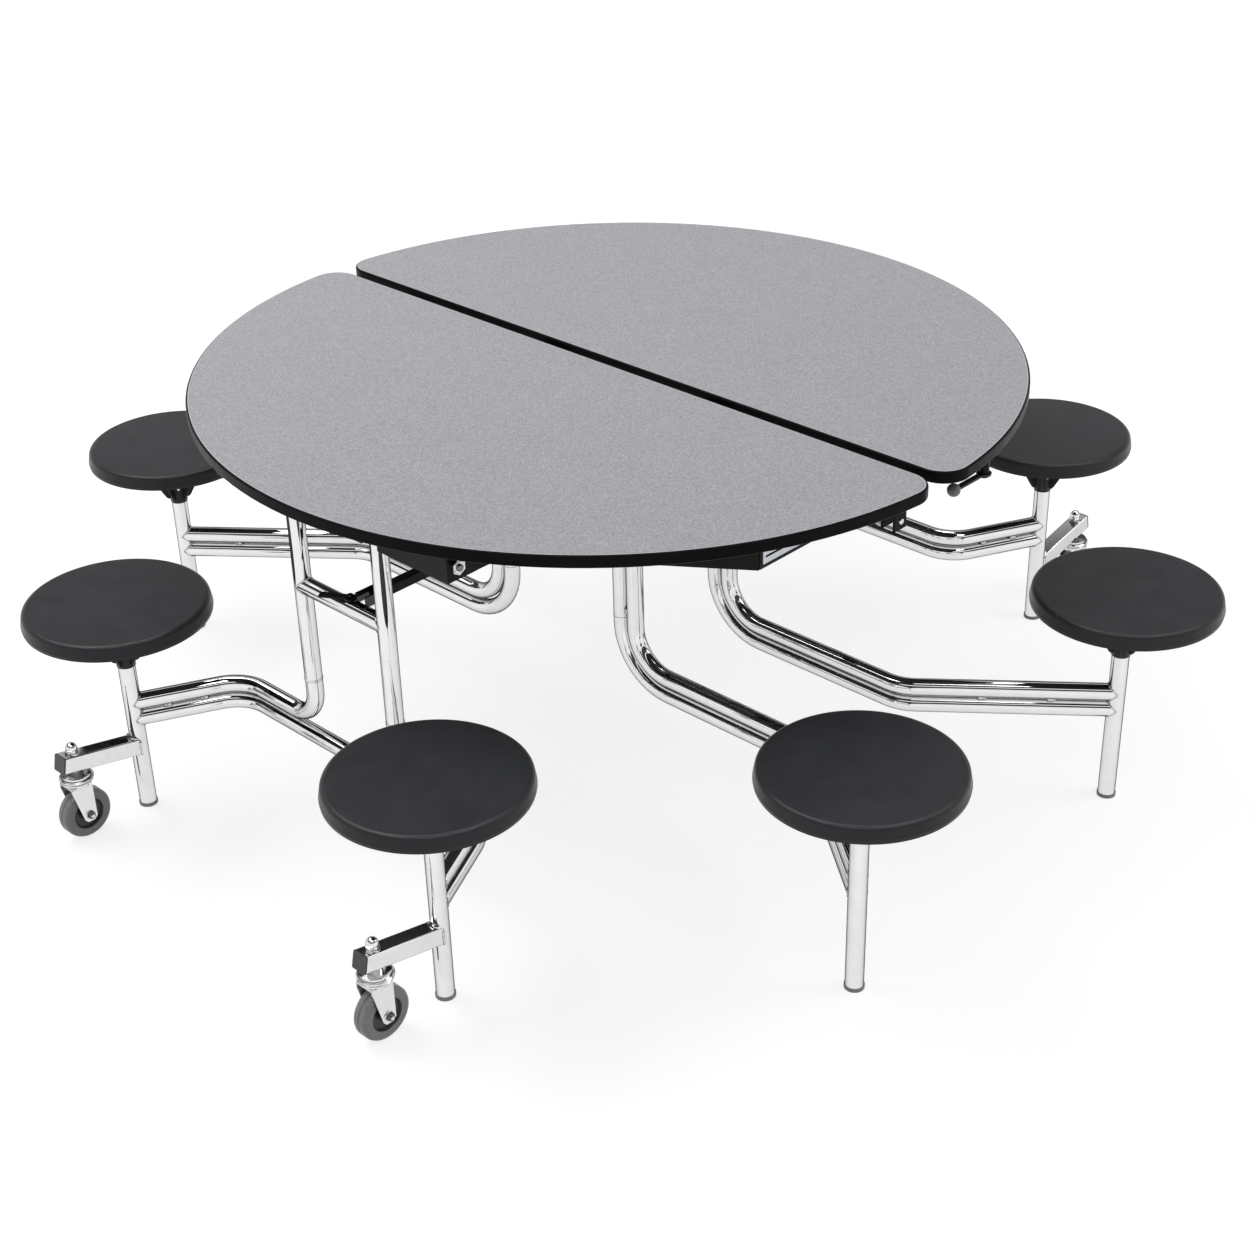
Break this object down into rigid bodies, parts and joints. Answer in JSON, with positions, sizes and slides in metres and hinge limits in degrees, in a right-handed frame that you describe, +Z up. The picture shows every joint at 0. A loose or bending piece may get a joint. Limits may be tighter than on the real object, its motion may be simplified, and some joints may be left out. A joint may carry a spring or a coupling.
{
  "type": "round mobile folding table with attached stools",
  "caption": "Round table in two half tops on a folding chrome tube frame, with attached round swivel stools and swivel casters.",
  "frame": {"origin": "on the floor under the centre of the top", "axes": "+X along the seam between the half tops, +Y towards the rear half, +Z up"},
  "size_m": [2.132, 2.036, 0.737],
  "materials": {
    "chrome": "polished",
    "nylon": "moulded nylon",
    "black_plastic": "moulded",
    "zinc": "bright zinc",
    "particleboard": "raw board",
    "grey_laminate": "fine speckle",
    "black_urethane": "semi-gloss",
    "black_steel": "powder coat",
    "galvanised": "galvanised",
    "lever_steel": "powder coat",
    "lock_steel": "powder coat",
    "link_steel": "powder coat",
    "seat_plastic": "fine moulded texture",
    "caster_rubber": "moulded"
  },
  "bodies": {
    "front_frame": {"front_base_tube": "chrome", "front_post_tubes": "chrome", "front_legs": "chrome", "front_leg_plugs": "nylon", "front_caster_arms": "chrome", "front_arm_caps": "black_plastic", "front_caster_stems": "zinc", "front_pivot_shaft": "zinc"},
    "front_top": {"front_tabletop_core": "particleboard", "front_laminate_sheet": "grey_laminate", "front_edge_band": "black_urethane", "front_apron_plates": "black_steel", "front_pivot_channel": "black_steel", "front_hinge_lugs": "black_steel", "front_latch_plates": "galvanised"},
    "front_release_lever": {"front_release_lever": "lever_steel"},
    "front_lock_lever": {"front_lock_lever": "lock_steel"},
    "front_fold_link": {"front_fold_link": "link_steel"},
    "rear_frame": {"rear_base_tube": "chrome", "rear_post_tubes": "chrome", "rear_legs": "chrome", "rear_leg_plugs": "nylon", "rear_caster_arms": "chrome", "rear_arm_caps": "black_plastic", "rear_caster_stems": "zinc", "rear_pivot_shaft": "zinc"},
    "rear_top": {"rear_tabletop_core": "particleboard", "rear_laminate_sheet": "grey_laminate", "rear_edge_band": "black_urethane", "rear_apron_plates": "black_steel", "rear_pivot_channel": "black_steel", "rear_hinge_lugs": "black_steel", "rear_latch_plates": "galvanised"},
    "rear_release_lever": {"rear_release_lever": "lever_steel"},
    "rear_lock_lever": {"rear_lock_lever": "lock_steel"},
    "rear_fold_link": {"rear_fold_link": "link_steel"},
    "centre_frame": {"stool_arms_upper": "chrome", "stool_arms_lower": "chrome", "stool_legs": "chrome", "stool_leg_plugs": "nylon", "centre_yoke": "black_steel", "torsion_bars": "zinc"},
    "seat_rear_right": {"seat_rear_right": "seat_plastic"},
    "seat_rear_left": {"seat_rear_left": "seat_plastic"},
    "seat_front_right": {"seat_front_right": "seat_plastic"},
    "seat_front_left": {"seat_front_left": "seat_plastic"},
    "seat_right_rear": {"seat_right_rear": "seat_plastic"},
    "seat_left_rear": {"seat_left_rear": "seat_plastic"},
    "seat_right_front": {"seat_right_front": "seat_plastic"},
    "seat_left_front": {"seat_left_front": "seat_plastic"},
    "rear_right_fork": {"rear_right_caster_fork": "zinc"},
    "rear_right_wheel": {"rear_right_caster_wheel": "caster_rubber"},
    "rear_left_fork": {"rear_left_caster_fork": "zinc"},
    "rear_left_wheel": {"rear_left_caster_wheel": "caster_rubber"},
    "front_right_fork": {"front_right_caster_fork": "zinc"},
    "front_right_wheel": {"front_right_caster_wheel": "caster_rubber"},
    "front_left_fork": {"front_left_caster_fork": "zinc"},
    "front_left_wheel": {"front_left_caster_wheel": "caster_rubber"}
  },
  "joints": [
    {"name": "fold", "type": "hinge", "parent": "front_frame", "child": "front_top", "pos_m": [0, -0.65, 0.68], "axis": [1, 0, 0], "range_deg": [0, 90]},
    {"name": "front_top_to_centre", "type": "hinge", "parent": "front_top", "child": "centre_frame", "pos_m": [0, -0.18, 0.68], "axis": [1, 0, 0], "range_deg": [-90, 0]},
    {"name": "centre_to_rear_top", "type": "hinge", "parent": "centre_frame", "child": "rear_top", "pos_m": [0, 0.18, 0.68], "axis": [1, 0, 0], "range_deg": [-90, 0]},
    {"name": "rear_top_to_frame", "type": "hinge", "parent": "rear_top", "child": "rear_frame", "pos_m": [0, 0.65, 0.68], "axis": [1, 0, 0], "range_deg": [0, 90]},
    {"name": "front_link_pivot", "type": "hinge", "parent": "front_frame", "child": "front_fold_link", "pos_m": [0.048, -0.614, 0.524], "axis": [1, 0, 0], "range_deg": [0, 90]},
    {"name": "rear_link_pivot", "type": "hinge", "parent": "centre_frame", "child": "rear_fold_link", "pos_m": [-0.048, 0.144, 0.524], "axis": [1, 0, 0], "range_deg": [-90, 0]},
    {"name": "rear_release", "type": "hinge", "parent": "rear_top", "child": "rear_release_lever", "pos_m": [0.725, 0.16, 0.68], "axis": [0, 0, 1], "range_deg": [-20, 0], "stiffness_Nm_per_rad": 0.6},
    {"name": "rear_lock", "type": "hinge", "parent": "rear_frame", "child": "rear_lock_lever", "pos_m": [-0.02, 0.65, 0.518], "axis": [0, 0, 1], "range_deg": [0, 25], "stiffness_Nm_per_rad": 0.4},
    {"name": "front_release", "type": "hinge", "parent": "front_top", "child": "front_release_lever", "pos_m": [-0.725, -0.16, 0.68], "axis": [0, 0, 1], "range_deg": [-20, 0], "stiffness_Nm_per_rad": 0.6},
    {"name": "front_lock", "type": "hinge", "parent": "front_frame", "child": "front_lock_lever", "pos_m": [0.02, -0.65, 0.518], "axis": [0, 0, 1], "range_deg": [0, 25], "stiffness_Nm_per_rad": 0.4},
    {"name": "seat_rear_right_swivel", "type": "hinge", "parent": "rear_frame", "child": "seat_rear_right", "pos_m": [0.416, 0.837, 0.4], "axis": [0, 0, 1], "continuous": true},
    {"name": "seat_rear_left_swivel", "type": "hinge", "parent": "rear_frame", "child": "seat_rear_left", "pos_m": [-0.416, 0.837, 0.4], "axis": [0, 0, 1], "continuous": true},
    {"name": "seat_front_right_swivel", "type": "hinge", "parent": "front_frame", "child": "seat_front_right", "pos_m": [0.416, -0.837, 0.4], "axis": [0, 0, 1], "continuous": true},
    {"name": "seat_front_left_swivel", "type": "hinge", "parent": "front_frame", "child": "seat_front_left", "pos_m": [-0.416, -0.837, 0.4], "axis": [0, 0, 1], "continuous": true},
    {"name": "seat_right_rear_swivel", "type": "hinge", "parent": "centre_frame", "child": "seat_right_rear", "pos_m": [0.897, 0.373, 0.4], "axis": [0, 0, 1], "continuous": true},
    {"name": "seat_left_rear_swivel", "type": "hinge", "parent": "centre_frame", "child": "seat_left_rear", "pos_m": [-0.897, 0.373, 0.4], "axis": [0, 0, 1], "continuous": true},
    {"name": "seat_right_front_swivel", "type": "hinge", "parent": "centre_frame", "child": "seat_right_front", "pos_m": [0.897, -0.373, 0.4], "axis": [0, 0, 1], "continuous": true},
    {"name": "seat_left_front_swivel", "type": "hinge", "parent": "centre_frame", "child": "seat_left_front", "pos_m": [-0.897, -0.373, 0.4], "axis": [0, 0, 1], "continuous": true},
    {"name": "rear_right_caster_swivel", "type": "hinge", "parent": "rear_frame", "child": "rear_right_fork", "pos_m": [0.416, 0.974, 0.125], "axis": [0, 0, 1], "continuous": true},
    {"name": "rear_right_wheel_spin", "type": "hinge", "parent": "rear_right_fork", "child": "rear_right_wheel", "pos_m": [0.416, 0.97, 0.0495], "axis": [1, 0, 0], "continuous": true},
    {"name": "rear_left_caster_swivel", "type": "hinge", "parent": "rear_frame", "child": "rear_left_fork", "pos_m": [-0.416, 0.974, 0.125], "axis": [0, 0, 1], "continuous": true},
    {"name": "rear_left_wheel_spin", "type": "hinge", "parent": "rear_left_fork", "child": "rear_left_wheel", "pos_m": [-0.416, 0.97, 0.0495], "axis": [1, 0, 0], "continuous": true},
    {"name": "front_right_caster_swivel", "type": "hinge", "parent": "front_frame", "child": "front_right_fork", "pos_m": [0.416, -0.974, 0.125], "axis": [0, 0, 1], "continuous": true},
    {"name": "front_right_wheel_spin", "type": "hinge", "parent": "front_right_fork", "child": "front_right_wheel", "pos_m": [0.416, -0.97, 0.0495], "axis": [1, 0, 0], "continuous": true},
    {"name": "front_left_caster_swivel", "type": "hinge", "parent": "front_frame", "child": "front_left_fork", "pos_m": [-0.416, -0.974, 0.125], "axis": [0, 0, 1], "continuous": true},
    {"name": "front_left_wheel_spin", "type": "hinge", "parent": "front_left_fork", "child": "front_left_wheel", "pos_m": [-0.416, -0.97, 0.0495], "axis": [1, 0, 0], "continuous": true}
  ],
  "couplings": [
    {"joint": "front_top_to_centre", "follows": "fold", "ratio": -1},
    {"joint": "centre_to_rear_top", "follows": "fold", "ratio": -1},
    {"joint": "rear_top_to_frame", "follows": "fold", "ratio": 1},
    {"joint": "front_link_pivot", "follows": "fold", "ratio": 1},
    {"joint": "rear_link_pivot", "follows": "fold", "ratio": -1}
  ]
}
